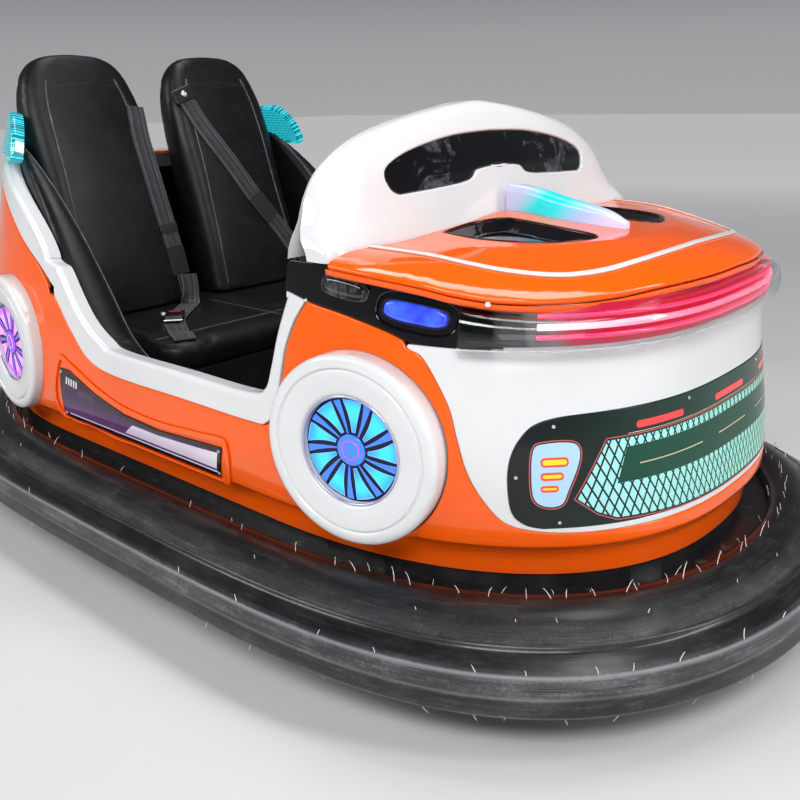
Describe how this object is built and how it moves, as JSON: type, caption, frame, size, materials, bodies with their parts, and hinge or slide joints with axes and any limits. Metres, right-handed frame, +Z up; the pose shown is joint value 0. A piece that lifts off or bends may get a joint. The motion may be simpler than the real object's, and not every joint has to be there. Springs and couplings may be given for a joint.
{
  "type": "two-seat battery bumper car",
  "caption": "Two-seat bumper car: rubber ring on a steel chassis, moulded open body with lit trim, steered drive wheel in front and fixed rear wheels.",
  "frame": {"origin": "on the floor, under the middle of the rubber ring", "axes": "+X forward to the nose, +Y to the car's left, +Z up"},
  "size_m": [1.95, 1.15, 0.91],
  "materials": {
    "bumper_rubber": "scuffed black rubber with a grey worn band",
    "black_steel": "black enamel",
    "deck_steel": "gloss black enamel",
    "black_moulding": "black gelcoat",
    "orange_gelcoat": "high gloss orange gelcoat on fibreglass",
    "white_gelcoat": "high gloss white gelcoat on fibreglass",
    "grille_print": "gloss printed panel, dark green",
    "gloss_black": "gloss black",
    "blade_lens": "frosted translucent lens",
    "clear_lens": "clear acrylic",
    "red_led": "lit red strip",
    "blue_lens": "lit blue lens",
    "wheel_lens": "lit lens with coloured blades",
    "cyan_lens": "lit cyan lens",
    "plate_print": "gloss printed plate",
    "leatherette": "black leatherette",
    "webbing": "ribbed black webbing",
    "soft_grip": "black moulded grip",
    "bare_steel": "worn steel",
    "wheel_rubber": "solid rubber tyre on a steel hub",
    "battery_case": "plastic case"
  },
  "bodies": {
    "car": {"bumper_ring": "bumper_rubber", "chassis_frame": "black_steel", "floor_pan": "deck_steel", "body_skirt": "black_moulding", "body_shell": "orange_gelcoat", "nose_panel": "white_gelcoat", "grille_panel": "grille_print", "hood_cap": "orange_gelcoat", "windshield_arch": "white_gelcoat", "windscreen": "gloss_black", "light_blade": "blade_lens", "light_bar": "clear_lens", "light_bar_leds": "red_led", "side_strip_right": "gloss_black", "side_strip_left": "gloss_black", "side_lamp_right": "blue_lens", "side_lamp_left": "blue_lens", "hood_vent_right": "gloss_black", "hood_vent_left": "gloss_black", "cockpit_rim_right": "white_gelcoat", "cockpit_rim_left": "white_gelcoat", "side_plate_right": "plate_print", "side_plate_left": "plate_print", "wheel_ring_front_right": "white_gelcoat", "wheel_ring_front_left": "white_gelcoat", "wheel_ring_rear_right": "white_gelcoat", "wheel_ring_rear_left": "white_gelcoat", "wheel_lamp_front_right": "wheel_lens", "wheel_lamp_front_left": "wheel_lens", "wheel_lamp_rear_right": "wheel_lens", "wheel_lamp_rear_left": "wheel_lens", "tail_lamp_right": "cyan_lens", "tail_lamp_left": "cyan_lens", "rear_deck": "orange_gelcoat", "seat_box": "black_moulding", "seat_cushion": "leatherette", "seat_back_right": "leatherette", "seat_back_left": "leatherette", "side_bolster_right": "leatherette", "side_bolster_left": "leatherette", "seat_belt_right": "webbing", "seat_belt_left": "webbing", "dash_panel": "black_moulding", "steering_column": "bare_steel", "battery": "battery_case", "pedal": "bare_steel"},
    "steering_wheel": {"steering_wheel": "soft_grip"},
    "drive_unit": {"drive_fork": "black_steel"},
    "drive_wheel": {"drive_wheel": "wheel_rubber"},
    "rear_wheel_right": {"rear_wheel_right": "wheel_rubber"},
    "rear_wheel_left": {"rear_wheel_left": "wheel_rubber"}
  },
  "joints": [
    {"name": "drive_unit_turn", "type": "hinge", "parent": "car", "child": "drive_unit", "pos_m": [0.485, 0, 0.24], "axis": [0, 0, 1], "continuous": true},
    {"name": "steering_wheel_turn", "type": "hinge", "parent": "car", "child": "steering_wheel", "pos_m": [0.215, 0, 0.62], "axis": [-0.766, 0, 0.6428], "continuous": true},
    {"name": "drive_wheel_spin", "type": "hinge", "parent": "drive_unit", "child": "drive_wheel", "pos_m": [0.485, 0, 0.1], "axis": [0, 1, 0], "continuous": true},
    {"name": "rear_wheel_right_spin", "type": "hinge", "parent": "car", "child": "rear_wheel_right", "pos_m": [-0.56, -0.32, 0.062], "axis": [0, 1, 0], "continuous": true},
    {"name": "rear_wheel_left_spin", "type": "hinge", "parent": "car", "child": "rear_wheel_left", "pos_m": [-0.56, 0.32, 0.062], "axis": [0, 1, 0], "continuous": true}
  ],
  "couplings": [
    {"joint": "steering_wheel_turn", "follows": "drive_unit_turn", "ratio": 1}
  ]
}
